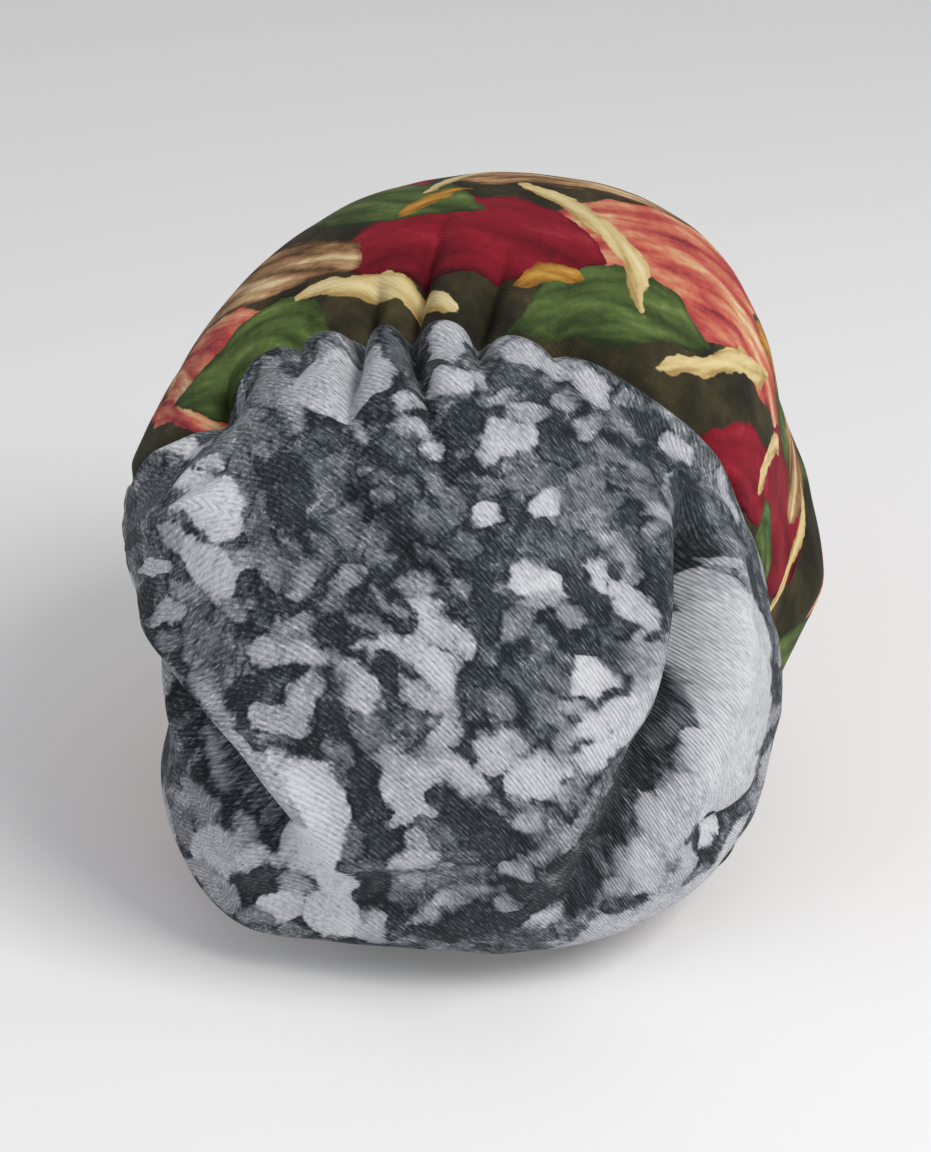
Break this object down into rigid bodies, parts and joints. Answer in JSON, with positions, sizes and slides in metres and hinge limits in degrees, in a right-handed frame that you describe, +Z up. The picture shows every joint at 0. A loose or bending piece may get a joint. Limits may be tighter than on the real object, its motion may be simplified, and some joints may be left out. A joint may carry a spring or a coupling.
{
  "type": "slouchy knit hat",
  "caption": "Slouchy sewn hat of knit cloth: printed front panel over the crown, grey marbled back bag gathered into the crown seam, doubled band round the head opening.",
  "frame": {"origin": "middle of the hat's footprint, at the level of the band's folded edge that it rests on", "axes": "+X to the wearer's right, +Y to the wearer's front, +Z up"},
  "size_m": [0.1994, 0.2452, 0.1856],
  "materials": {
    "printed_knit": "printed cotton knit, matt, with painted-looking petals, leaves and twigs",
    "marbled_knit": "grey marbled cotton knit with a fine diagonal rib, matt"
  },
  "bodies": {
    "root": {"front_panel": "printed_knit", "back_bag": "marbled_knit", "rim_band": "printed_knit"}
  },
  "joints": []
}
